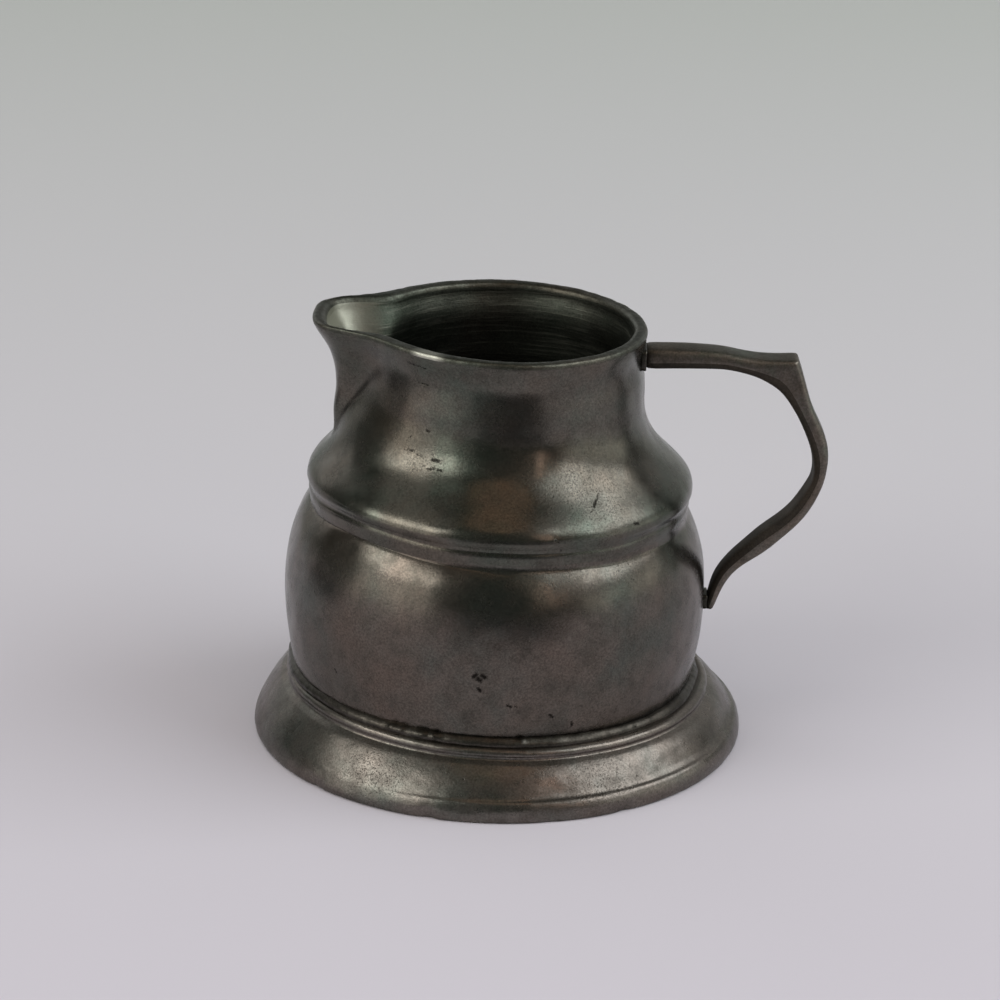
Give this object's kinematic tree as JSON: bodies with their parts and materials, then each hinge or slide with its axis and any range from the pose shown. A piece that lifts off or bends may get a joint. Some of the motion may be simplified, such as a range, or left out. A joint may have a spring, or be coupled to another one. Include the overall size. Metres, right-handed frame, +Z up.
{
  "type": "pewter jug",
  "caption": "Small bellied pewter jug with a waisted neck, drawn pouring lip, flat strap handle with thumb spur, and a moulded spreading foot, for pouring cream, milk or wine.",
  "frame": {"origin": "centre of the footprint's bounding box, on the surface the jug stands on; the body's turning axis stands about 7.1 mm to the -X side of it", "axes": "+Z up, +X towards the handle, -X towards the spout, the spout and handle lie in the XZ plane"},
  "size_m": [0.0978, 0.085, 0.0741],
  "materials": {
    "pewter_neck": "aged cast pewter, warm grey-brown, worn to a soft sheen",
    "pewter_spout": "aged cast pewter, warm grey-brown, worn to a soft sheen",
    "pewter_belly": "aged cast pewter, warm grey-brown, worn to a soft sheen",
    "pewter_foot": "aged cast pewter, warm grey-brown, worn to a soft sheen",
    "pewter_floor": "aged cast pewter, warm grey-brown, worn to a soft sheen",
    "pewter_handle": "aged cast pewter, warm grey-brown, worn to a soft sheen",
    "solder_girdle": "tin solder, scraped, a little lighter and duller than the castings",
    "solder_foot": "tin solder, scraped, a little lighter and duller than the castings",
    "solder_floor": "tin solder, scraped, a little lighter and duller than the castings",
    "solder_root": "tin solder, scraped, a little lighter and duller than the castings",
    "solder_tail": "tin solder, scraped, a little lighter and duller than the castings"
  },
  "bodies": {
    "root": {"neck_casting": "pewter_neck", "spout": "pewter_spout", "belly_casting": "pewter_belly", "foot_ring": "pewter_foot", "base_disc": "pewter_floor", "handle": "pewter_handle", "girdle_solder": "solder_girdle", "foot_solder": "solder_foot", "base_solder": "solder_floor", "handle_root_solder": "solder_root", "handle_tail_solder": "solder_tail"}
  },
  "joints": []
}
